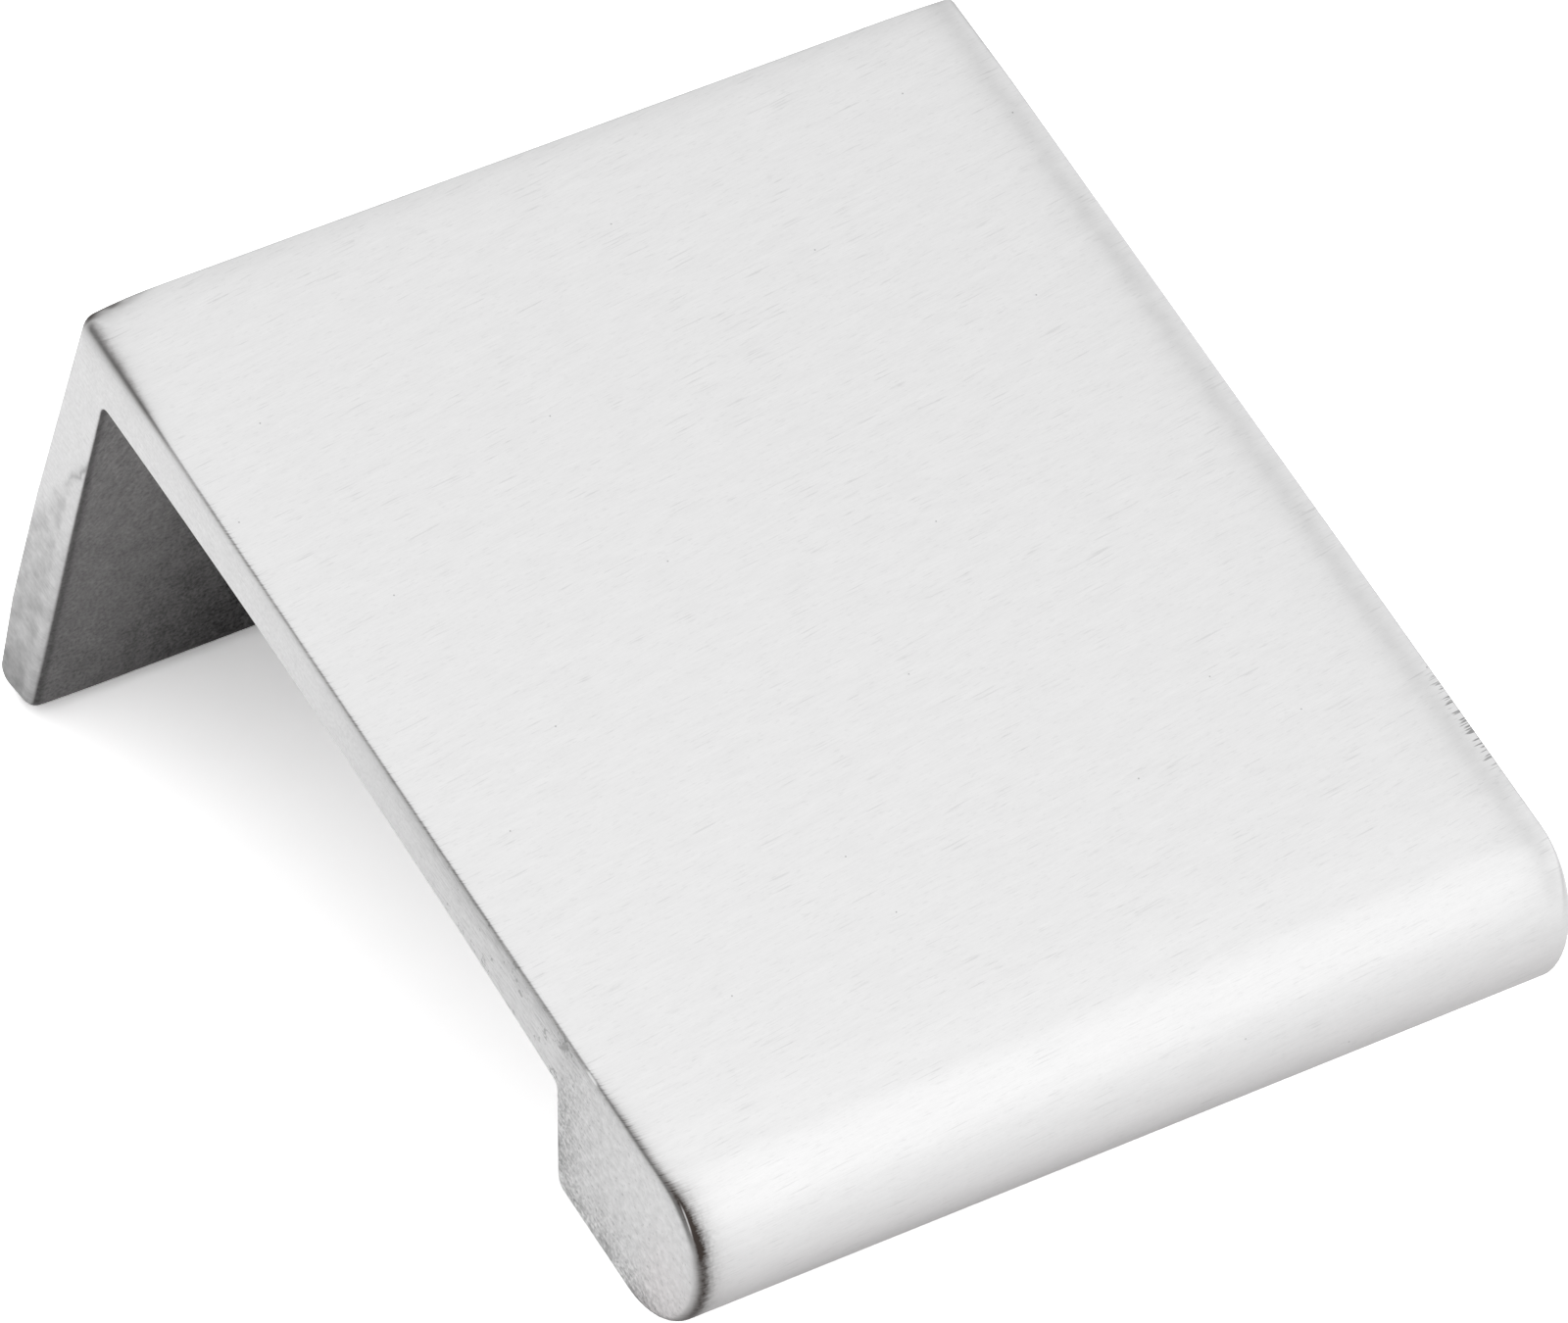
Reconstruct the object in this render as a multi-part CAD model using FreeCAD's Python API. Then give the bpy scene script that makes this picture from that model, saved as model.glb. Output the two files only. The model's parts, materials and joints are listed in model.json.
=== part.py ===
import FreeCAD, Part
import math
import os

# Tab pull for a drawer or door front, cast in one piece.
# The flange is screwed to the back of the front, the plate passes over the front's edge,
# and the fingertips hook behind the lip at the far end.
# Frame: X along the width, Y from the lip towards the flange, Z up.
# The origin is on the flange's seating face, midway between the two screw holes.

# Overall sizes, in millimetres
WIDTH = 38.0
DEPTH = 45.4                # back of the flange to the tip of the nose
FLANGE_DROP = 22.6          # top face to the foot of the flange

# Walls
FLANGE_THICKNESS = 2.45
FOOT_RISE = 0.6             # the foot slopes up by this much towards the seating face
PLATE_THICKNESS = 2.7       # at both ends of the plate
ARCH_RISE = 0.45            # how far the underside arches up between its ends

# Lip
LIP_HEIGHT = 7.0            # top face to the flat underside of the lip
LIP_DEPTH = 9.9             # tip of the nose to the top of the lip's inner face
LIP_LEAN_DEG = 18.8         # the inner face leans towards the nose as it goes down

# Rounded edges along the width
BACK_EDGE_RADIUS = 0.35
FOOT_EDGE_RADIUS = 0.7
INNER_CORNER_RADIUS = 0.5   # between the flange and the plate
LIP_ROOT_RADIUS = 0.4       # between the plate and the lip
LIP_HEEL_RADIUS = 0.7       # at the bottom of the lip's inner face

# Broken edge around both ends
END_EDGE_RADIUS = 0.3

# Screw holes, countersunk from the back of the flange
SCREW_SPACING = 19.0
SCREW_DROP = 12.5           # top face to the screws' axes
SCREW_HOLE_DIAMETER = 4.0
COUNTERSINK_DIAMETER = 7.2
COUNTERSINK_ANGLE_DEG = 90.0

# Levels and places that follow from the sizes above
TOP_Z = SCREW_DROP
FOOT_Z = TOP_Z - FLANGE_DROP
UNDERSIDE_Z = TOP_Z - PLATE_THICKNESS
LIP_FOOT_Z = TOP_Z - LIP_HEIGHT
SEATING_Y = 0.0
BACK_Y = SEATING_Y + FLANGE_THICKNESS
NOSE_Y = BACK_Y - DEPTH
LIP_ROOT_Y = NOSE_Y + LIP_DEPTH
LIP_HEEL_Y = LIP_ROOT_Y - (LIP_HEIGHT - PLATE_THICKNESS) * math.tan(math.radians(LIP_LEAN_DEG))
NOSE_RADIUS = LIP_HEIGHT / 2
NOSE_CENTRE_Y = NOSE_Y + NOSE_RADIUS

# Corners of the section, each as its place along Y and its height
BACK_TOP = (BACK_Y, TOP_Z)
BACK_FOOT = (BACK_Y, FOOT_Z)
SEATING_FOOT = (SEATING_Y, FOOT_Z + FOOT_RISE)
SEATING_TOP = (SEATING_Y, UNDERSIDE_Z)
ARCH_CROWN = ((SEATING_Y + LIP_ROOT_Y) / 2, UNDERSIDE_Z + ARCH_RISE)
LIP_ROOT = (LIP_ROOT_Y, UNDERSIDE_Z)
LIP_HEEL = (LIP_HEEL_Y, LIP_FOOT_Z)
NOSE_FOOT = (NOSE_CENTRE_Y, LIP_FOOT_Z)
NOSE_TIP = (NOSE_Y, TOP_Z - NOSE_RADIUS)
NOSE_TOP = (NOSE_CENTRE_Y, TOP_Z)

NEAR = 1e-4                 # two places closer than this are the same place


def at_end(corner, x=-WIDTH / 2):
    """A corner of the section, placed on the end of the pull at x."""
    y, z = corner
    return FreeCAD.Vector(x, y, z)


def straight(start, end):
    return Part.LineSegment(at_end(start), at_end(end)).toShape()


def curved(start, middle, end):
    return Part.Arc(at_end(start), at_end(middle), at_end(end)).toShape()


def section_face():
    """The section across the width: flange, arched plate, undercut lip and round nose."""
    outline = [
        straight(BACK_TOP, BACK_FOOT),
        straight(BACK_FOOT, SEATING_FOOT),
        straight(SEATING_FOOT, SEATING_TOP),
        curved(SEATING_TOP, ARCH_CROWN, LIP_ROOT),
        straight(LIP_ROOT, LIP_HEEL),
        straight(LIP_HEEL, NOSE_FOOT),
        curved(NOSE_FOOT, NOSE_TIP, NOSE_TOP),
        straight(NOSE_TOP, BACK_TOP),
    ]
    return Part.Face(Part.Wire(outline))


def edge_along_width(body, corner):
    """The edge of the body that runs along X through a corner of the section."""
    ends = [at_end(corner, -WIDTH / 2), at_end(corner, WIDTH / 2)]
    for edge in body.Edges:
        places = [vertex.Point for vertex in edge.Vertexes]
        if all(min(end.distanceToPoint(place) for place in places) < NEAR for end in ends):
            return edge
    raise ValueError(f"no edge along the width at {corner}")


def round_section_corners(body):
    """Round the edges that run along the width, each with its own radius."""
    radii = [
        (BACK_TOP, BACK_EDGE_RADIUS),
        (BACK_FOOT, FOOT_EDGE_RADIUS),
        (SEATING_FOOT, FOOT_EDGE_RADIUS),
        (SEATING_TOP, INNER_CORNER_RADIUS),
        (LIP_ROOT, LIP_ROOT_RADIUS),
        (LIP_HEEL, LIP_HEEL_RADIUS),
    ]
    for corner, radius in radii:
        body = body.makeFillet(radius, [edge_along_width(body, corner)])
    return body


def break_end_edges(body):
    """Round the edge around both ends, where the end faces meet the rest."""
    rims = []
    for face in body.Faces:
        if abs(abs(face.CenterOfMass.x) - WIDTH / 2) < NEAR:
            rims.extend(face.OuterWire.Edges)
    return body.makeFillet(END_EDGE_RADIUS, rims)


def screw_hole(x):
    """The space of one screw: a straight hole and a countersink that opens at the back."""
    along = FreeCAD.Vector(0, 1, 0)
    hole_radius = SCREW_HOLE_DIAMETER / 2
    sink_radius = COUNTERSINK_DIAMETER / 2
    sink_depth = (sink_radius - hole_radius) / math.tan(math.radians(COUNTERSINK_ANGLE_DEG / 2))
    hole = Part.makeCylinder(hole_radius, FLANGE_THICKNESS, FreeCAD.Vector(x, SEATING_Y, 0), along)
    sink_start = FreeCAD.Vector(x, BACK_Y - sink_depth, 0)
    sink = Part.makeCone(hole_radius, sink_radius, sink_depth, sink_start, along)
    return hole.fuse(sink)


def tab_pull():
    body = section_face().extrude(FreeCAD.Vector(WIDTH, 0, 0))
    body = round_section_corners(body)
    body = break_end_edges(body)
    for side in (-1, 1):
        body = body.cut(screw_hole(side * SCREW_SPACING / 2))
    return body.Solids[0]


os.makedirs("parts", exist_ok=True)
pull = tab_pull()
pull.exportStep("parts/tab_pull.step")
print("valid", pull.isValid(), "volume", round(pull.Volume, 1), "mm3", pull.BoundBox)
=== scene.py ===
import json
import math

import bpy
from mathutils import Matrix, Vector


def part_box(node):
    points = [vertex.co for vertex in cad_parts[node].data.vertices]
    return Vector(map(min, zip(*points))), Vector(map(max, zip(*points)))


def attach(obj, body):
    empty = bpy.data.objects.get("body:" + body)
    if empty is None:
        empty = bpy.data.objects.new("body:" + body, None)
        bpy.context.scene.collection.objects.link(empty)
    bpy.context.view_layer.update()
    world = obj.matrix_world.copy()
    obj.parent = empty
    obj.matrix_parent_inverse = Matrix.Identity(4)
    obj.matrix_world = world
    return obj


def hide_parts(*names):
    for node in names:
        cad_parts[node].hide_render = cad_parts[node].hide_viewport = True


# Brushed tab pull: a flange, a flat plate and a lip with a round nose, in one piece.
# X runs along the width, the nose points to -Y and Z is up. Sizes are in metres.

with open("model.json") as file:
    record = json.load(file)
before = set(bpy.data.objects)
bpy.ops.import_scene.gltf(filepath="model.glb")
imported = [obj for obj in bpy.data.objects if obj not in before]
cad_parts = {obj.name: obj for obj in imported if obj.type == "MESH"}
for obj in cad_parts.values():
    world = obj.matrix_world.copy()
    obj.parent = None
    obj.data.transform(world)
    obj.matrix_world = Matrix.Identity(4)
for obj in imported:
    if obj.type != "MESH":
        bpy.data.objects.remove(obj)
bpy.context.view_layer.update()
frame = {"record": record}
low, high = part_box("tab_pull")
mounts = {mount["name"]: mount for mount in frame["record"]["mounts"]}
screws = mounts["screw_holes"]["dims"]

MM = 0.001

# Overall places, from the frame
HALF_WIDTH = high.x
TOP_Z = high.z
BACK_Y = high.y
SEATING_Y = 0.0
NOSE_Y = low.y
FLOOR_Z = low.z

# Section of the pull
FOOT_Z = TOP_Z - 22.6 * MM          # the foot's corner at the back, before it is rounded
FOOT_RISE = 0.6 * MM                # the foot slopes up by this much towards the seating face
UNDERSIDE_Z = TOP_Z - 2.7 * MM      # at both ends of the plate
ARCH_RISE = 0.45 * MM
LIP_FOOT_Z = TOP_Z - 7.0 * MM
LIP_ROOT_Y = NOSE_Y + 9.9 * MM
LIP_LEAN = math.radians(18.8)
LIP_HEEL_Y = LIP_ROOT_Y - (UNDERSIDE_Z - LIP_FOOT_Z) * math.tan(LIP_LEAN)
NOSE_RADIUS = (TOP_Z - LIP_FOOT_Z) / 2
NOSE_CENTRE_Y = NOSE_Y + NOSE_RADIUS
ARCH_STEPS = 16

# Rounded edges along the width
BACK_EDGE_RADIUS = 0.2 * MM
FOOT_EDGE_RADIUS = 0.7 * MM
INNER_CORNER_RADIUS = 0.5 * MM
LIP_ROOT_RADIUS = 0.4 * MM
LIP_HEEL_RADIUS = 0.7 * MM

# Worn edge around both ends: its radius at places around the section
RIM_PLATE_BACK = 0.24 * MM
RIM_PLATE = 0.15 * MM
RIM_PLATE_FRONT = 0.26 * MM
RIM_LIP = 0.15 * MM
RIM_INSIDE = 0.12 * MM
RIM_FOOT = 0.45 * MM
RIM_UNDER_FOOT = 0.8 * MM
RIM_FLANGE_BACK = 0.05 * MM
RIM_BELOW_CORNER = 0.85             # as a share of the back corner's rim

# Places between which the worn edge changes
PLATE_BACK_Y = SEATING_Y - 2 * MM
PLATE_MIDDLE_Y = SEATING_Y - 10 * MM
PLATE_FRONT_Y = SEATING_Y - 26 * MM
KINK_Z = 5.9 * MM                   # on the seating face; the flange's ends are ground down to here
FLANGE_LOW_Z = TOP_Z - 17.5 * MM
FLANGE_MIDDLE_Z = TOP_Z - 11 * MM
BELOW_CORNER_Z = TOP_Z - 2.5 * MM

# Towards both ends the top face falls off a little, and the back and the foot are worn rounder
ROLL_WIDTH = 3.4 * MM
ROLL_DROP = 0.05 * MM
FOOT_END_RADIUS = 0.95 * MM
LEFT_END = {
    "back_radius": 0.8 * MM,
    "foot_radius": FOOT_END_RADIUS,
    "back_rim": 0.62 * MM,
    "nose_rim": 0.56 * MM,
    "plate_share": 1.0,             # of the rims along the plate
}
RIGHT_END = {
    "back_radius": 0.38 * MM,
    "foot_radius": FOOT_END_RADIUS,
    "back_rim": 0.28 * MM,
    "nose_rim": 0.85 * MM,
    "plate_share": 0.5,
}

# Mesh fineness
RIM_STEPS = 8
MIDDLE_STEPS = 44
ARC_STEP = math.radians(5)
SUPPORT = 0.06 * MM                 # how close a flat's own row of points lies to a rounded edge
MERGE_DISTANCE = SUPPORT / 100
SHARP_ANGLE = math.radians(30)      # edges that turn more than this stay sharp
SCREW_SIDES = 64

# Screw holes, countersunk from the back
SCREW_SPACING = screws["spacing_x_mm"] * MM
SCREW_RADIUS = screws["hole_r_mm"] * MM
COUNTERSINK_RADIUS = 3.6 * MM
CUT_MARGIN = 0.5 * MM               # how far the cutting bodies stand out of the flange

# Finish
SKIN_TONE = 0.824
SKIN_ROUGHNESS = 0.32
END_TONE = 0.91
END_ROUGHNESS = 0.41
# Dark partly as a duller cast finish and partly as painted shade of the hollow under the plate
INSIDE_TONE_WITH_SHADE = 0.355
INSIDE_ROUGHNESS = 0.46
RESIDUE_COLOUR = (0.055, 0.045, 0.04, 1)
# Colour of the painted glints: white and not metal, so that they show bright under any light
GLINT_COLOUR = (1, 1, 1, 1)
GRAIN_STRENGTH = 0.15
GRAIN_DEPTH = 0.02 * MM
BRUSH_SLANT = 0.11                  # the brushing drifts in Y by this share of its way along X

# Places of single marks, of the painted glints and of the painted shade band, in millimetres, as the
# finish counts
# The painted shade band along the right edge lies this far in from the right end
SHADE_BAND_FROM_RIGHT = 0.77                     # from the right end
TICKS_Y = -34.3
TICKS_REACH = 2.1
DARKEST_Y = -40.3                   # in the residue of the left rim
# Painted glints in the left rim
PLATE_GLINT_Y = -34.7
NOSE_GLINT_Y = -41.2

# Camera, as fitted to the photograph's outline
EYE = Vector((-260.464, -284.812, 482.645)) * MM
CAMERA_RIGHT = Vector((0.84237, -0.50929, 0.17619))
CAMERA_UP = Vector((0.32342, 0.73927, 0.59066))
LENS_MM = 378.0
SENSOR_MM = 36.0
SIGHT_REACH = 100

# Room, floor and lamp
ROOM_TONE = 0.97
FLOOR_TONE = 0.75
FLOOR_MIRRORED = 0.92               # as the metal shows it
FLOOR_WHITE = 2.4                   # as the camera sees it, so that the open floor is white
FLOOR_REACH = 8.0
LAMP_WATTS = 0.12
LAMP_SIZE = 0.6
LAMP_DISTANCE = 0.5
LAMP_TARGET = Vector((0, NOSE_Y, TOP_Z))
LAMP_DIRECTION = Vector((0.431, -0.28, 0.857))


class Value:
    """The output of a node; sums and products of values add Math nodes to the same tree."""

    def __init__(self, nodes, socket):
        self.nodes = nodes
        self.socket = socket

    def output(self, name):
        """Another output of the same node."""
        return Value(self.nodes, find(self.socket.node.outputs, name))

    def __add__(self, other):
        return self.nodes.math("ADD", self, other)

    def __radd__(self, other):
        return self.nodes.math("ADD", other, self)

    def __sub__(self, other):
        return self.nodes.math("SUBTRACT", self, other)

    def __rsub__(self, other):
        return self.nodes.math("SUBTRACT", other, self)

    def __mul__(self, other):
        return self.nodes.math("MULTIPLY", self, other)

    def __rmul__(self, other):
        return self.nodes.math("MULTIPLY", other, self)

    def __truediv__(self, other):
        return self.nodes.math("DIVIDE", self, other)

    def __rtruediv__(self, other):
        return self.nodes.math("DIVIDE", other, self)

    def __abs__(self):
        return self.nodes.math("ABSOLUTE", self)

    def __pow__(self, other):
        return self.nodes.math("POWER", self, other)

    def __gt__(self, other):
        return self.nodes.math("GREATER_THAN", self, other)


def find(sockets, name):
    """A socket by its identifier, its name or its number."""
    if isinstance(name, int):
        return sockets[name]
    for socket in sockets:
        if socket.identifier == name:
            return socket
    return sockets[name]


class Nodes:
    """A node tree under construction."""

    def __init__(self, tree):
        self.tree = tree
        tree.nodes.clear()

    def add(self, kind, settings=None, inputs=None, output=0):
        """A new node: its settings come first, then the values or links of its sockets."""
        node = self.tree.nodes.new(kind)
        for name, setting in (settings or {}).items():
            setattr(node, name, setting)
        for name, given in (inputs or {}).items():
            for one in given if isinstance(given, list) else [given]:
                self.feed(find(node.inputs, name), one)
        return Value(self, find(node.outputs, output)) if node.outputs else None

    def feed(self, socket, given):
        """Links a value to a socket, or sets a plain number, colour or name on it."""
        if isinstance(given, Value):
            self.tree.links.new(given.socket, socket)
        else:
            socket.default_value = given

    def math(self, operation, first, second=0.0, clamped=False):
        settings = {"operation": operation, "use_clamp": clamped}
        return self.add("ShaderNodeMath", settings, {0: first, 1: second})

    def clamp(self, value):
        """The value, kept between 0 and 1."""
        return self.math("ADD", value, 0.0, clamped=True)

    def least(self, first, second):
        return self.math("MINIMUM", first, second)

    def most(self, first, second):
        return self.math("MAXIMUM", first, second)

    def step(self, value, start, end):
        """0 before start and 1 after end, with a smooth change between them."""
        inputs = {"Value": value, "From Min": start, "From Max": end}
        return self.add("ShaderNodeMapRange", {"interpolation_type": "SMOOTHSTEP"}, inputs)

    def below(self, value, start, end):
        """1 before start and 0 after end, with a smooth change between them."""
        return 1 - self.step(value, start, end)

    def vector(self, operation, first, second=None, scale=None):
        inputs = {0: first}
        if second is not None:
            inputs[1] = second
        if scale is not None:
            inputs["Scale"] = scale
        return self.add("ShaderNodeVectorMath", {"operation": operation}, inputs)

    def combine(self, x, y, z):
        return self.add("ShaderNodeCombineXYZ", inputs={0: x, 1: y, 2: z})

    def separate(self, vector):
        x = self.add("ShaderNodeSeparateXYZ", inputs={0: vector})
        return x, x.output("Y"), x.output("Z")

    def mix(self, factor, first, second):
        """A colour between two colours."""
        inputs = {"Factor_Float": factor, "A_Color": first, "B_Color": second}
        return self.add("ShaderNodeMix", {"data_type": "RGBA"}, inputs, "Result_Color")

    def noise(self, x, y, detail=1.0):
        """A flat clouded pattern, from 0 to 1."""
        inputs = {"Vector": self.combine(x, y, 0.0), "Scale": 1.0, "Detail": detail, "Roughness": 0.6}
        return self.add("ShaderNodeTexNoise", {"noise_dimensions": "2D"}, inputs)

    def swing(self, x, y, detail=1.0):
        """A flat clouded pattern that swings about 0."""
        return self.noise(x, y, detail) - 0.5

    def solid_swing(self, vector, scale, detail, roughness):
        """A clouded pattern through the whole body that swings about 0."""
        inputs = {"Vector": vector, "Scale": scale, "Detail": detail, "Roughness": roughness}
        return self.add("ShaderNodeTexNoise", inputs=inputs) - 0.5

    def scatter(self, x, y):
        """The distance to the nearest of many scattered points."""
        inputs = {"Vector": self.combine(x, y, 0.0), "Scale": 1.0}
        return self.add("ShaderNodeTexVoronoi", {"voronoi_dimensions": "2D"}, inputs)


# Section outline

def section_corners(back_radius, foot_radius, back_rim=0, nose_rim=0, plate_share=1.0):
    """Corners of the section: place, rounding, and the end rim before and after the rounding."""
    plate_back = RIM_PLATE_BACK * plate_share
    plate = RIM_PLATE * plate_share
    plate_front = RIM_PLATE_FRONT * plate_share
    below_corner = RIM_BELOW_CORNER * back_rim
    corners = [
        (BACK_Y, TOP_Z, back_radius, back_rim, back_rim),
        (PLATE_BACK_Y, TOP_Z, 0, plate_back, plate_back),
        (PLATE_MIDDLE_Y, TOP_Z, 0, plate, plate),
        (PLATE_FRONT_Y, TOP_Z, 0, plate, plate),
        (NOSE_Y, TOP_Z, NOSE_RADIUS, plate_front, nose_rim),
        (NOSE_Y, LIP_FOOT_Z, NOSE_RADIUS, nose_rim, RIM_LIP),
        (LIP_HEEL_Y, LIP_FOOT_Z, LIP_HEEL_RADIUS, RIM_LIP, RIM_LIP),
        (LIP_ROOT_Y, UNDERSIDE_Z, LIP_ROOT_RADIUS, RIM_INSIDE, RIM_INSIDE),
    ]
    for step in range(1, ARCH_STEPS):
        along = step / ARCH_STEPS
        height = UNDERSIDE_Z + ARCH_RISE * 4 * along * (1 - along)
        y = LIP_ROOT_Y + (SEATING_Y - LIP_ROOT_Y) * along
        corners.append((y, height, 0, RIM_INSIDE, RIM_INSIDE))
    corners += [
        (SEATING_Y, UNDERSIDE_Z, INNER_CORNER_RADIUS, RIM_INSIDE, RIM_INSIDE),
        (SEATING_Y, KINK_Z, 0, RIM_INSIDE, RIM_INSIDE),
        (SEATING_Y, FOOT_Z + FOOT_RISE, foot_radius, RIM_FOOT, RIM_UNDER_FOOT),
        (BACK_Y, FOOT_Z, foot_radius, RIM_UNDER_FOOT, RIM_FOOT),
        (BACK_Y, FLANGE_LOW_Z, 0, RIM_FLANGE_BACK, RIM_FLANGE_BACK),
        (BACK_Y, FLANGE_MIDDLE_Z, 0, RIM_FLANGE_BACK, RIM_FLANGE_BACK),
        (BACK_Y, BELOW_CORNER_Z, 0, below_corner, below_corner),
    ]
    return corners


def rounded_outline(corners):
    """Points around the section, each with its place, its outward normal and its end rim."""
    places = [Vector(corner[:2]) for corner in corners]
    turns = []
    for index, place in enumerate(places):
        before = (place - places[index - 1]).normalized()
        after = (places[(index + 1) % len(places)] - place).normalized()
        turns.append((before, after, math.atan2(before.cross(after), before.dot(after))))
    reaches = [corner[2] * math.tan(abs(turn[2]) / 2) for corner, turn in zip(corners, turns)]
    points = []
    for index, (before, after, turn) in enumerate(turns):
        corner = places[index]
        radius, first_rim, last_rim = corners[index][2:]
        outward = Vector((before.y, -before.x))
        if not radius:
            points.append((corner, Matrix.Rotation(turn / 2, 2) @ outward, first_rim))
            continue
        bend = math.copysign(radius, turn)
        start = corner - before * reaches[index]
        centre = start - outward * bend
        if flat_between(places, reaches, index - 1):
            points.append((start - before * SUPPORT, outward, first_rim))
        steps = math.ceil(abs(turn) / ARC_STEP)
        for step in range(steps + 1):
            part = step / steps
            normal = Matrix.Rotation(turn * part, 2) @ outward
            eased = part * part * (3 - 2 * part)
            rim = first_rim + (last_rim - first_rim) * eased
            points.append((centre + normal * bend, normal, rim))
        if flat_between(places, reaches, index):
            points.append((corner + after * (reaches[index] + SUPPORT), points[-1][1], last_rim))
        else:
            points.pop()
    return points


def flat_between(places, reaches, index):
    """Whether a corner and the next one leave a flat between their roundings."""
    following = (index + 1) % len(places)
    length = (places[following] - places[index]).length
    return length - reaches[index] - reaches[following] > 2 * SUPPORT


def section_wire():
    """The section as a closed wire in the XY plane, with what the sweep needs at each point."""
    points = rounded_outline(section_corners(BACK_EDGE_RADIUS, FOOT_EDGE_RADIUS))
    wire = bpy.data.meshes.new("section")
    places = [(place.x, place.y, 0) for place, normal, rim in points]
    edges = [(index, (index + 1) % len(points)) for index in range(len(points))]
    wire.from_pydata(places, edges, [])
    for name in ("outward", "left_shift", "right_shift"):
        wire.attributes.new(name, "FLOAT_VECTOR", "POINT")
    for name in ("left_radius", "right_radius"):
        wire.attributes.new(name, "FLOAT", "POINT")
    for index, (place, normal, rim) in enumerate(points):
        wire.attributes["outward"].data[index].vector = (normal.x, normal.y, 0)
    for side, wear in (("left", LEFT_END), ("right", RIGHT_END)):
        for index, (place, normal, rim) in enumerate(rounded_outline(section_corners(**wear))):
            on_plate = place.x < SEATING_Y - ROLL_WIDTH
            shift = place - points[index][0] - normal * (ROLL_DROP * max(normal.y, 0) * on_plate)
            wire.attributes[side + "_shift"].data[index].vector = (shift.x, shift.y, 0)
            wire.attributes[side + "_radius"].data[index].value = rim
    return wire


# Body of the pull

def body_tree():
    """Sweeps the section along the width, rounds and closes both ends and cuts the screw holes."""
    tree = bpy.data.node_groups.new("pull_body", "GeometryNodeTree")
    nodes = Nodes(tree)
    tree.interface.new_socket("Section", in_out="INPUT", socket_type="NodeSocketGeometry")
    for name in ("Half width", "Roll width", "Screw spacing", "Screw radius", "Countersink radius"):
        tree.interface.new_socket(name, in_out="INPUT", socket_type="NodeSocketFloat")
    for name in ("Rim steps", "Middle steps"):
        tree.interface.new_socket(name, in_out="INPUT", socket_type="NodeSocketInt")
    tree.interface.new_socket("Finish", in_out="INPUT", socket_type="NodeSocketMaterial")
    tree.interface.new_socket("Body", in_out="OUTPUT", socket_type="NodeSocketGeometry")
    given = nodes.add("NodeGroupInput")

    sheet, outlines = swept_section(nodes, given)
    body = closed_ends(nodes, given, sheet, outlines)
    body = with_screw_holes(nodes, given, body)
    body = smooth_shaded(nodes, body)
    body = nodes.add("GeometryNodeRealizeInstances", inputs={"Geometry": body})
    finish = {"Geometry": body, "Material": given.output("Finish")}
    body = nodes.add("GeometryNodeSetMaterial", inputs=finish)
    nodes.add("NodeGroupOutput", inputs={"Body": body})
    return tree


def stored(nodes, geometry, name, value, kind="FLOAT"):
    """The geometry with a value kept at each of its points."""
    settings = {"data_type": kind, "domain": "POINT"}
    inputs = {"Geometry": geometry, "Name": name, "Value": value}
    return nodes.add("GeometryNodeStoreNamedAttribute", settings, inputs)


def recalled(nodes, name, kind="FLOAT"):
    """A value that was kept at the points."""
    return nodes.add("GeometryNodeInputNamedAttribute", {"data_type": kind}, {"Name": name})


def swept_section(nodes, given):
    """The outer sheet with its rounded rims, and the outlines of the flat caps at both ends."""
    half_width = given.output("Half width")
    section = nodes.add("GeometryNodeMeshToCurve", inputs={"Mesh": given.output("Section")})
    place = nodes.add("GeometryNodeInputPosition")
    section = stored(nodes, section, "section_place", place, "FLOAT_VECTOR")
    strip = strip_along_width(nodes, given)
    sheet = nodes.add("GeometryNodeCurveToMesh", inputs={"Curve": section, "Profile Curve": strip})

    left_radius = recalled(nodes, "left_radius")
    right_radius = recalled(nodes, "right_radius")
    on_right = recalled(nodes, "middle") > 0
    end_radius = left_radius * (1 - on_right) + right_radius * on_right
    left = recalled(nodes, "left") * (math.pi / 2)
    right = recalled(nodes, "right") * (math.pi / 2)
    rim = end_radius * (nodes.math("SINE", right) - nodes.math("SINE", left))
    along = recalled(nodes, "middle") * (half_width - end_radius) + rim
    turned = 1 - nodes.math("COSINE", nodes.most(left, right))
    inset = end_radius * turned + recalled(nodes, "lap") * SUPPORT
    near_end = nodes.clamp(1 - (half_width - abs(along)) / given.output("Roll width"))
    worn = near_end * near_end
    sheet = moved(nodes, sheet, (worn * (1 - on_right), worn * on_right), inset, along)
    sheet = nodes.add("GeometryNodeFlipFaces", inputs={"Mesh": sheet})
    left_cap = moved(nodes, section, (1.0, 0.0), left_radius + SUPPORT)
    right_cap = moved(nodes, section, (0.0, 1.0), right_radius + SUPPORT)
    return sheet, (left_cap, right_cap)


def strip_along_width(nodes, given):
    """A row of points from end to end: a lap, the left rim, the middle, the right rim and a lap."""
    rim_steps = given.output("Rim steps")
    middle_steps = given.output("Middle steps")
    count = 2 * rim_steps + middle_steps + 3
    last = count - 1
    index = nodes.add("GeometryNodeInputIndex")
    strip = {"Curve": nodes.add("GeometryNodeCurvePrimitiveLine"), "Count": count}
    strip = nodes.add("GeometryNodeResampleCurve", {"mode": "COUNT"}, strip)
    strip = stored(nodes, strip, "left", nodes.clamp(1 - (index - 1) / rim_steps))
    strip = stored(nodes, strip, "right", nodes.clamp(1 - (last - 1 - index) / rim_steps))
    middle = nodes.clamp((index - 1 - rim_steps) / middle_steps)
    strip = stored(nodes, strip, "middle", 0 - nodes.math("COSINE", middle * math.pi))
    return stored(nodes, strip, "lap", nodes.clamp(1 - index) + nodes.clamp(index - last + 1))


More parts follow.
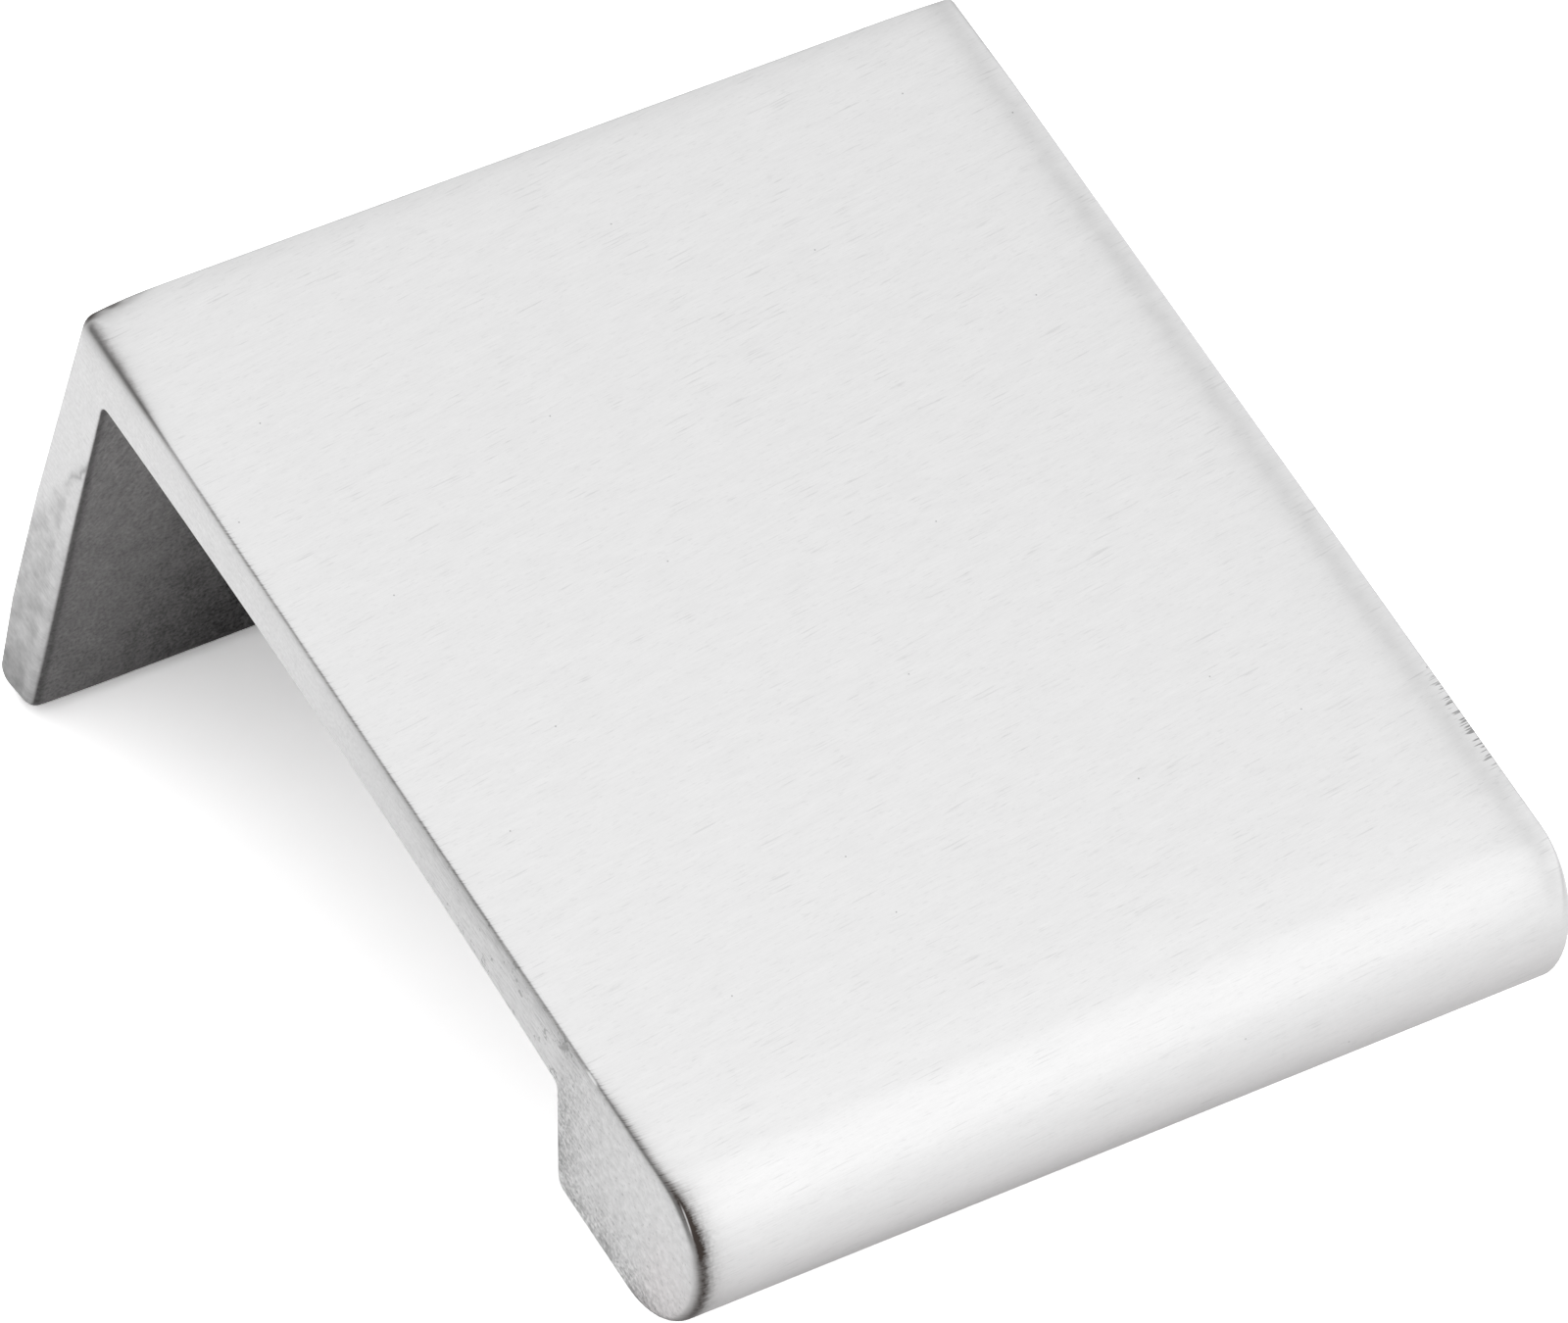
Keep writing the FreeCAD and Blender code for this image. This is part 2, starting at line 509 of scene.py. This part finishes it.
def moved(nodes, geometry, wear, inset, along=0.0):
    """Moves points towards each end's worn section, inwards from the outline and along the width."""
    place = recalled(nodes, "section_place", "FLOAT_VECTOR")
    place = nodes.vector("ADD", place, nodes.combine(0.0, 0.0, along))
    left_wear, right_wear = wear
    for name, share in (("left_shift", left_wear), ("right_shift", right_wear), ("outward", 0 - inset)):
        step = nodes.vector("SCALE", recalled(nodes, name, "FLOAT_VECTOR"), scale=share)
        place = nodes.vector("ADD", place, step)
    return nodes.add("GeometryNodeSetPosition", inputs={"Geometry": geometry, "Position": place})


def closed_ends(nodes, given, sheet, outlines):
    """Closes both ends with flat caps and turns the sweep so that it runs along X."""
    half_width = given.output("Half width")
    ends = []
    for outline, side in zip(outlines, (-1, 1)):
        cap = nodes.add("GeometryNodeFillCurve", {"mode": "NGONS"}, {"Curve": outline})
        lift = {"Geometry": cap, "Translation": nodes.combine(0.0, 0.0, half_width * side)}
        ends.append(nodes.add("GeometryNodeTransform", inputs=lift))
    ends[0] = nodes.add("GeometryNodeFlipFaces", inputs={"Mesh": ends[0]})
    body = nodes.add("GeometryNodeJoinGeometry", inputs={"Geometry": [sheet] + ends})
    merge = {"Geometry": body, "Distance": MERGE_DISTANCE}
    body = nodes.add("GeometryNodeMergeByDistance", inputs=merge)
    turn = {"Geometry": body, "Rotation": (math.pi / 2, 0, math.pi / 2)}
    return nodes.add("GeometryNodeTransform", inputs=turn)


def with_screw_holes(nodes, given, body):
    """Cuts the two countersunk holes through the flange."""
    spacing = given.output("Screw spacing")
    radius = given.output("Screw radius")
    sink_radius = given.output("Countersink radius")
    places = {
        "Count": 2,
        "Start Location": nodes.combine(spacing * -0.5, 0.0, 0.0),
        "Offset": nodes.combine(spacing, 0.0, 0.0),
    }
    places = nodes.add("GeometryNodeMeshLine", inputs=places)
    thickness = BACK_Y - SEATING_Y
    shaft = {"Vertices": SCREW_SIDES, "Radius": radius, "Depth": thickness + 2 * CUT_MARGIN}
    shaft = nodes.add("GeometryNodeMeshCylinder", inputs=shaft)
    sink = {
        "Vertices": SCREW_SIDES,
        "Radius Top": radius - CUT_MARGIN,
        "Radius Bottom": sink_radius + CUT_MARGIN,
        "Depth": sink_radius - radius + 2 * CUT_MARGIN,
    }
    sink = nodes.add("GeometryNodeMeshCone", inputs=sink)
    cutters = []
    for cutter, start in ((shaft, SEATING_Y + thickness / 2), (sink, BACK_Y + CUT_MARGIN)):
        turn = {
            "Geometry": cutter,
            "Translation": (0, start, 0),
            "Rotation": (math.pi / 2, 0, 0),
        }
        pair = {"Points": places, "Instance": nodes.add("GeometryNodeTransform", inputs=turn)}
        pair = nodes.add("GeometryNodeInstanceOnPoints", inputs=pair)
        cutters.append(nodes.add("GeometryNodeRealizeInstances", inputs={"Geometry": pair}))
    settings = {"operation": "DIFFERENCE", "solver": "EXACT"}
    return nodes.add("GeometryNodeMeshBoolean", settings, {"Mesh 1": body, "Mesh 2": cutters})


def smooth_shaded(nodes, body):
    """Shades the body smooth, with its sharp edges kept."""
    body = nodes.add("GeometryNodeSetShadeSmooth", {"domain": "FACE"}, {"Geometry": body})
    angle = nodes.add("GeometryNodeInputMeshEdgeAngle")
    sharp = {"Geometry": body, "Selection": angle > SHARP_ANGLE, "Shade Smooth": False}
    return nodes.add("GeometryNodeSetShadeSmooth", {"domain": "EDGE"}, sharp)


def pull_body(finish):
    """The whole pull as one plain mesh."""
    blank = bpy.data.objects.new("section", section_wire())
    bpy.context.scene.collection.objects.link(blank)
    modifier = blank.modifiers.new("pull_body", "NODES")
    modifier.node_group = body_tree()
    sizes = {
        "Half width": HALF_WIDTH,
        "Roll width": ROLL_WIDTH,
        "Screw spacing": SCREW_SPACING,
        "Screw radius": SCREW_RADIUS,
        "Countersink radius": COUNTERSINK_RADIUS,
        "Rim steps": RIM_STEPS,
        "Middle steps": MIDDLE_STEPS,
        "Finish": finish,
    }
    for item in modifier.node_group.interface.items_tree:
        if item.name in sizes:
            modifier[item.identifier] = sizes[item.name]
    evaluated = blank.evaluated_get(bpy.context.evaluated_depsgraph_get())
    mesh = bpy.data.meshes.new_from_object(evaluated)
    bpy.data.objects.remove(blank)
    body = bpy.data.objects.new("pull_body", mesh)
    bpy.context.scene.collection.objects.link(body)
    return body


# Finish

class Place:
    """A place on the pull for its finish, in millimetres, with the clouding there."""

    def __init__(self, nodes):
        metres = nodes.add("ShaderNodeTexCoord", output="Object")
        at = nodes.vector("SCALE", metres, scale=1 / MM)
        self.x, self.y, self.z = nodes.separate(at)
        self.from_left = HALF_WIDTH / MM + self.x
        self.from_right = HALF_WIDTH / MM - self.x
        self.from_end = HALF_WIDTH / MM - abs(self.x)
        self.from_back = nodes.most(BACK_Y / MM - self.y, 0.0)
        self.cloud = nodes.solid_swing(at, 0.9, 2.0, 0.6)
        self.grit = nodes.solid_swing(at, 6.0, 1.0, 0.7)
        on_flange = nodes.step(self.y, -1.0, -0.5)
        self.down_flange = on_flange * nodes.step(KINK_Z / MM - self.z, 0.0, 14.0)
        start = 0.02 + 0.08 * self.down_flange
        end = 0.1 + 0.14 * self.down_flange
        self.on_end = nodes.below(self.from_end, start, end)


def peak(value, width, power=2.0):
    """1 where a value is 0, and a half where it is as large as the width."""
    return 1 / (1 + (abs(value) / width) ** power)


def brushed_metal():
    """Satin metal: brushed along the width, ground at the ends and left as cast inside, with light and
    shade painted into its colour in places.
    """
    material = bpy.data.materials.new("brushed_metal")
    material.use_nodes = True
    nodes = Nodes(material.node_tree)
    place = Place(nodes)
    inside = inner_faces(nodes, place)
    tone, roughness, height = brushed_skin(nodes, place)
    for cover, finish in ((place.on_end, ground_end), (inside, cast_and_shaded_inside)):
        own_tone, own_roughness, own_height = finish(nodes, place)
        tone = tone + (own_tone - tone) * cover
        roughness = roughness + (own_roughness - roughness) * cover
        height = height + (own_height - height) * cover

    # The metal is tinted a little warmer on the inner faces, and under the nose as a painted brownish
    # reflection
    under_nose = nodes.below(place.z, 7.0, 11.5) * nodes.below(place.y, -41.0, -39.0)
    warmth = nodes.most(under_nose, inside)
    metal = nodes.combine(tone, tone * (0.998 - 0.024 * warmth), tone * (1 - 0.022 * warmth))
    residue, glints = edge_residue(nodes, place)
    colour = nodes.mix(residue, metal, RESIDUE_COLOUR)
    # Painted glints: white, and not metal, where the rim should catch a highlight
    colour = nodes.mix(glints, colour, GLINT_COLOUR)
    grain = {"Strength": GRAIN_STRENGTH, "Distance": GRAIN_DEPTH, "Height": height}
    shader = {
        "Base Color": colour,
        "Metallic": 1 - glints,
        "Roughness": roughness + 0.1 * residue,
        "Normal": nodes.add("ShaderNodeBump", inputs=grain),
    }
    shader = nodes.add("ShaderNodeBsdfPrincipled", inputs=shader)
    nodes.add("ShaderNodeOutputMaterial", inputs={"Surface": shader})
    return material


def brushed_skin(nodes, place):
    """The brushed outside: fine lines, scratches, specks and dark ticks, with painted light: lighter
    towards the nose and to the left, painted highlights at the nose's start and on the right rim, and
    painted shade along the back edge, under the nose and in a band along the right edge.
    """
    x, y, z = place.x, place.y, place.z
    across = y + z - BRUSH_SLANT * x
    lines = nodes.swing(x * 0.6, across * 18, 2.0)
    sweep = nodes.swing(x * 0.5, across * 2, 2.0)
    long_marks = nodes.step(nodes.noise(x * 0.45, across * 10), 0.64, 0.78)
    long_marks = long_marks * nodes.step(place.cloud, -0.06, 0.12)
    short_marks = nodes.step(nodes.noise(x * 2.2, across * 13), 0.62, 0.8)
    specks = nodes.below(nodes.scatter(x * 0.11, across * 0.11), 0.0022, 0.005)

    # Painted light: the top is made lighter towards the nose, and lighter to the left by the term in x
    towards_nose = nodes.below(y, NOSE_CENTRE_Y / MM, 0.0)
    # A painted highlight in a band where the nose starts
    nose_start_highlight = peak(y - NOSE_CENTRE_Y / MM - 0.6, 1.3, 3.0) * nodes.step(z, 10.5, 12.2)
    # Painted shade under the nose
    under_nose = nodes.below(z, 6.8, 10.9) * nodes.below(y, -40.0, -39.0)
    # A painted highlight along the right rim
    rim_width = 0.1 + 0.25 * nodes.below(y, -41.0, -39.0)
    right_rim_highlight = nodes.below(place.from_right, 0.02, rim_width)
    # Painted light in the tone: towards the nose, at the nose's start and to the left
    tone = SKIN_TONE + 0.022 * towards_nose + 0.03 * nose_start_highlight - 0.0007 * x
    # Painted shade along the back edge, where its rounding turns away from the light
    tone = tone - 0.09 * peak(place.from_back, 0.7)
    tone = tone + 0.065 * lines + 0.05 * sweep + 0.03 * place.grit
    tone = tone - 0.09 * long_marks - 0.05 * short_marks
    # Painted shade: darker under the nose, and a band along the right edge
    tone = tone * (1 - 0.34 * under_nose) - right_edge_shade_and_ticks(nodes, place)
    # Dark specks, and the painted highlight along the right rim
    tone = tone - 0.35 * specks + 0.16 * right_rim_highlight
    return tone, SKIN_ROUGHNESS + 0.08 * lines + 0.06 * long_marks, lines


def right_edge_shade_and_ticks(nodes, place):
    """How much darker a painted shade band along the right edge, and the dark ticks beside it, make the
    top.
    """
    x, y = place.x, place.y
    wander = nodes.swing(y * 0.7, 0.0)
    mottle = nodes.swing(x * 0.9, y * 1.2, 2.0)
    # A painted shade band along the right edge, where its rolled-off edge turns darker
    line = peak(place.from_right - SHADE_BAND_FROM_RIGHT - 0.3 * wander, 0.55) * (0.12 + 0.08 * mottle)
    hairs = nodes.noise(x * 0.6, (y - BRUSH_SLANT * x) * 11)
    lengths = nodes.noise(0.0, y * 6)
    ticks = nodes.step(hairs, 0.54, 0.6) * nodes.below(place.from_right - 0.8 * lengths, -0.15, 0.05)
    ticks = ticks * peak(y - TICKS_Y, TICKS_REACH, 8.0)
    on_top = nodes.step(place.z, 11.0, 12.0)
    return on_top * (line + 0.45 * ticks)


def ground_end(nodes, place):
    """The ground ends: grinding lines, pits, darkening along the lip's edges, and a foot that was never
    ground.
    """
    y, z = place.y, place.z
    lines = nodes.swing(y * 1.2, z * 14)
    on_lip = nodes.below(y, LIP_ROOT_Y / MM - 1.0, LIP_ROOT_Y / MM + 1.0)
    # Darker along the lip's inner and lower edges, speckled
    edge_darkening = end_edge_darkening(nodes, place, lines, on_lip)
    pits = nodes.step(nodes.noise(y * 4, z * 8), 0.66, 0.76) * on_lip * nodes.clamp(0.35 + edge_darkening)
    patches = nodes.swing(y * 2.6, z * 3.4, 2.0)
    unground, loss = unground_foot(nodes, place)
    tone = END_TONE + 0.14 * lines + 0.08 * place.cloud + 0.2 * place.grit
    tone = tone + on_lip * (0.025 + 0.3 * patches)
    tone = tone - 0.3 * pits - (0.42 + 0.16 * on_lip) * edge_darkening - loss
    height = 0.8 * lines + place.grit * (0.6 + 1.2 * on_lip + 0.8 * unground)
    return tone, END_ROUGHNESS + 0.12 * unground + 0.06 * edge_darkening, height


def end_edge_darkening(nodes, place, lines, on_lip):
    """Darker, speckled, along the lip's inner and lower edges, and in patches on the plate's end behind
    the lip.
    """
    y, z = place.y, place.z
    before_root = LIP_ROOT_Y / MM - y
    below_plate = UNDERSIDE_Z / MM - z
    from_inner_face = before_root * math.cos(LIP_LEAN) - below_plate * math.sin(LIP_LEAN)
    from_edge = nodes.least(z - LIP_FOOT_Z / MM, nodes.most(from_inner_face, 0.0))
    speckled = nodes.clamp(0.55 + 2.4 * place.grit + 1.2 * place.cloud + 1.6 * lines)
    on_edge = peak(from_edge, 1.5, 1.3) * speckled
    behind_lip = nodes.below(y, -28.0, -14.0) * nodes.step(y, -35.5, -33.0)
    upper = nodes.step(z, 11.0, 12.2)
    patches = nodes.step(place.cloud + 0.7 * place.grit, 0.08, 0.26)
    on_plate = behind_lip * nodes.clamp(0.3 * upper + 0.8 * patches + 1.4 * lines + 0.1)
    return nodes.most(on_lip * on_edge, on_plate)


def unground_foot(nodes, place):
    """Where the flange's ends were never ground, and how much darker they are: mottled, with painted
    shade that darkens them towards the foot, and lighter along a worn strip at the inner edge that also
    carries a painted bevel highlight.
    """
    y, z = place.y, place.z
    below_kink = KINK_Z / MM - (z + 2 * y)
    on_flange = nodes.step(y, -0.5, 0.0)
    unground = on_flange * nodes.step(below_kink + 2.4 * place.cloud, -0.6, 1.4)
    lower = nodes.step(below_kink, 0.0, 9.0)
    at_foot = nodes.below(z, -9.0, -6.2)
    # A worn strip along the inner edge, lighter also as a painted bevel highlight
    worn_highlight_strip = nodes.below(y + 0.5 * place.cloud, 0.45, 0.8) * (1 - 0.7 * lower)
    blotches = nodes.swing(y * 1.1 - z * 0.7, y * 0.7 + z * 1.1, 2.0)
    # Painted shade: darker lower down and at the foot
    mottled = 0.14 + 0.13 * lower + 0.17 * at_foot
    mottled = mottled + 0.36 * blotches + 0.2 * place.cloud + 0.08 * place.grit
    seam = on_flange * peak(below_kink + 1.5 * place.cloud, 0.22) * nodes.below(y, 0.3, 1.3)
    return unground, unground * mottled * (1 - 0.8 * worn_highlight_strip) + 0.35 * seam


def cast_and_shaded_inside(nodes, place):
    """The dull inner faces with the wrinkled skin of the casting, and painted shade: a dark tone,
    darker away from the ends and lower down, lighter higher up, and a dark line beside the ends.
    """
    x, y, z = place.x, place.y, place.z
    rise = y + z
    wrinkles = nodes.swing((0.48 * x + 0.88 * rise) * 1.3, (0.88 * x - 0.48 * rise) * 4, 2.0)
    wrinkles = wrinkles * nodes.step(z, -2.0, 6.0)
    # Painted shade, deeper away from the ends
    deep_shade = nodes.step(place.from_end, 2.0, 9.0)
    lower = nodes.below(z, -9.0, -3.0)
    tone = INSIDE_TONE_WITH_SHADE + 0.008 * z - 0.175 * deep_shade - 0.02 * lower
    tone = tone + 0.2 * place.cloud + 0.36 * place.grit + 0.26 * wrinkles
    beside_end = place.from_end - 0.14 - 0.14 * place.down_flange
    # A painted shade line on the inner faces beside the ends' rims
    tone = tone * (1 - 0.45 * peak(beside_end, 0.2, 3.0))
    return tone, INSIDE_ROUGHNESS + 0.1 * place.grit, 2.0 * place.grit + 8.0 * wrinkles


def inner_faces(nodes, place):
    """1 on the seating face, the underside of the plate and the lip's inner face."""
    under = nodes.below(place.z, TOP_Z / MM - 1.6, TOP_Z / MM - 1.2)
    before_back = nodes.below(place.y, BACK_Y / MM - 1.4, BACK_Y / MM - 1.0)
    behind_nose = nodes.step(place.y, NOSE_CENTRE_Y / MM, NOSE_CENTRE_Y / MM + 0.5)
    return under * before_back * behind_nose * (1 - place.on_end)


def edge_residue(nodes, place):
    """Dark polishing residue in the left end's rim and along the back edge, and two painted glints in
    it.
    """
    depth = depth_in_end(nodes, place)
    corner = peak(place.from_left + place.from_back, 0.38, 4.0)
    in_rim = rim_residue(nodes, place, depth, corner)
    along_back = back_residue(nodes, place, depth, corner)
    return nodes.clamp(nodes.most(in_rim, along_back)), rim_glints(nodes, place, depth)


def depth_in_end(nodes, place):
    """How far a place on an end lies below the top face or behind the nose's surface."""
    before_centre = nodes.most(NOSE_CENTRE_Y / MM - place.y, 0.0)
    above_centre = place.z - (TOP_Z - NOSE_RADIUS) / MM
    from_centre = (before_centre * before_centre + above_centre * above_centre) ** 0.5
    return nodes.most(NOSE_RADIUS / MM - from_centre, 0.0)


def rim_residue(nodes, place, depth, corner):
    """Residue in the left rim: a thin hairy line along the plate, wider at the nose and at the back."""
    y, z, from_left = place.y, place.z, place.from_left
    on_plate = nodes.step(z, UNDERSIDE_Z / MM, UNDERSIDE_Z / MM + 1.0)
    on_nose = nodes.below(y, NOSE_CENTRE_Y / MM - 0.5, NOSE_CENTRE_Y / MM)
    towards_nose = nodes.below(y, -38.5, -33.0)
    at_nose = nodes.below(y, -42.4, -38.8)
    down_nose = nodes.below(z, 10.6, 11.2)
    low_nose = nodes.below(z, 6.0, 8.5)
    towards_back = nodes.step(y, -8.0, -3.0)
    at_back = nodes.step(y, -5.0, 1.5)
    hairs = nodes.swing(place.x * 0.8, (y + z) * 14)
    patches = nodes.swing(y * 0.6, 0.0) * (1 - at_nose)

    spread = 0.035 + 0.15 * towards_nose + 0.43 * at_nose + 0.29 * at_back
    fringe = (1.6 - 0.8 * towards_nose - 0.65 * at_nose - 1.3 * towards_back) * hairs
    spread = spread * (1 + fringe + 0.3 * place.grit + 0.3 * patches)
    inwards = peak(from_left, nodes.most(spread, 0.02), 2.3 + 3 * at_nose * at_nose + 1.2 * at_back)
    downwards = peak(depth, 0.17 - 0.05 * at_nose + 0.06 * down_nose + 0.2 * at_back, 2.5)
    strength = 0.8 + 0.25 * towards_nose - 0.06 * at_nose - 0.05 * at_back + 0.2 * patches
    strength = strength + 0.14 * peak(y - DARKEST_Y, 1.0, 4.0)
    strength = strength * (1 - 0.21 * down_nose - 0.2 * low_nose) * (1 - 0.3 * corner)
    tail = 0.2 * at_nose * peak(from_left, 1.15, 4.0) + 0.1 * at_back * peak(from_left, 0.55)
    tail = tail * (1 + 0.6 * hairs + 1.2 * place.grit)
    whiskers = nodes.step(hairs, 0.06, 0.2) * peak(from_left, 0.15, 3.0) * nodes.below(y, -9.0, -5.0)
    tail = tail + 0.22 * whiskers * (1 - at_nose)
    return nodes.most(on_plate, on_nose) * downwards * (inwards * strength + tail)


def back_residue(nodes, place, depth, corner):
    """Residue smeared along the top's back edge, thinning out from the left corner."""
    from_left = place.from_left
    smears = nodes.swing(place.x * 1.2, place.y * 3)
    on_edge = nodes.step(place.z, 10.5, 11.0) * peak(depth, 0.5, 5.0)
    width = nodes.most(0.48 - 0.09 * from_left, 0.1)
    along_back = on_edge * nodes.below(from_left, 0.8, 3.6) * (1.05 + 1.2 * smears)
    return along_back * peak(place.from_back, width, 3.0) * (1 - 0.3 * corner)


def rim_glints(nodes, place, depth):
    """Two painted glints in the left rim, white spots that are not metal: one where the plate meets the
    lip and one at the nose.
    """
    on_plate = peak(place.y - PLATE_GLINT_Y, 0.33, 6.0) * peak(depth - 0.175, 0.045, 4.0)
    on_plate = on_plate * nodes.step(place.z, 11.0, 11.5)
    on_nose = peak(place.y - NOSE_GLINT_Y, 0.42, 6.0) * peak(place.from_left - 0.2, 0.022, 4.0)
    return nodes.clamp((on_plate + 0.5 * on_nose) * nodes.below(place.from_left, 0.3, 0.5))


# Stage

def pale_floor():
    """White to the camera and pale in reflections, with the pull's soft shadow on it."""
    material = bpy.data.materials.new("pale_floor")
    material.use_nodes = True
    nodes = Nodes(material.node_tree)
    camera_ray = nodes.add("ShaderNodeLightPath", output="Is Camera Ray")
    glossy_ray = camera_ray.output("Is Glossy Ray")
    mirrored = nodes.most(glossy_ray, camera_ray.output("Is Transmission Ray"))
    tones = [(tone, tone, tone, 1) for tone in (FLOOR_TONE, FLOOR_MIRRORED, FLOOR_WHITE)]
    colour = nodes.mix(mirrored, tones[0], tones[1])
    colour = nodes.mix(camera_ray, colour, tones[2])
    shader = nodes.add("ShaderNodeBsdfDiffuse", inputs={"Color": colour})
    nodes.add("ShaderNodeOutputMaterial", inputs={"Surface": shader})
    mesh = bpy.data.meshes.new("floor")
    sides = ((-1, -1), (1, -1), (1, 1), (-1, 1))
    corners = [(x * FLOOR_REACH, y * FLOOR_REACH, FLOOR_Z) for x, y in sides]
    mesh.from_pydata(corners, [], [(0, 1, 2, 3)])
    mesh.materials.append(material)
    floor = bpy.data.objects.new("floor", mesh)
    bpy.context.scene.collection.objects.link(floor)


def studio():
    """A pale room that is brighter overhead and in front, and dim low on the left."""
    world = bpy.data.worlds.new("studio")
    bpy.context.scene.world = world
    world.use_nodes = True
    nodes = Nodes(world.node_tree)
    direction = nodes.add("ShaderNodeTexCoord", output="Generated")
    x, y, z = nodes.separate(direction)
    overhead = nodes.step(z, 0.0, 0.6) * nodes.below(y, -0.3, 0.4)
    right = nodes.step(x, 0.5, 0.9)
    behind = nodes.step(y, 0.45, 0.8)
    low_left = nodes.below(x, -0.9, -0.55) * nodes.below(z, 0.35, 0.65)
    room = ROOM_TONE + 0.06 * overhead
    room = room * (1 - 0.25 * right) * (1 - 0.06 * behind) * (1 - 0.85 * low_left)
    camera_ray = nodes.add("ShaderNodeLightPath", output="Is Camera Ray")
    room = room + (1 - room) * camera_ray
    background = nodes.add("ShaderNodeBackground", inputs={"Color": (1, 1, 1, 1), "Strength": room})
    nodes.add("ShaderNodeOutputWorld", inputs={"Surface": background})


def overhead_lamp():
    """A soft lamp above the nose."""
    data = bpy.data.lights.new("overhead_lamp", "AREA")
    data.energy = LAMP_WATTS
    data.size = LAMP_SIZE
    lamp = bpy.data.objects.new("overhead_lamp", data)
    lamp.location = LAMP_TARGET + LAMP_DIRECTION.normalized() * LAMP_DISTANCE
    lamp.rotation_euler = LAMP_DIRECTION.to_track_quat("Z", "Y").to_euler()
    bpy.context.scene.collection.objects.link(lamp)


def camera():
    """The camera, from the photograph's side."""
    data = bpy.data.cameras.new("camera")
    data.lens = LENS_MM
    data.sensor_width = SENSOR_MM
    data.clip_end = SIGHT_REACH
    eye = bpy.data.objects.new("camera", data)
    backwards = CAMERA_RIGHT.cross(CAMERA_UP)
    turn = Matrix((CAMERA_RIGHT, CAMERA_UP, backwards)).transposed().to_4x4()
    eye.matrix_world = Matrix.Translation(EYE) @ turn
    bpy.context.scene.collection.objects.link(eye)
    bpy.context.scene.camera = eye


bpy.context.scene.view_settings.view_transform = "Standard"
camera()
studio()
overhead_lamp()
pale_floor()
body = pull_body(brushed_metal())
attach(body, "root")
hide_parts("tab_pull")
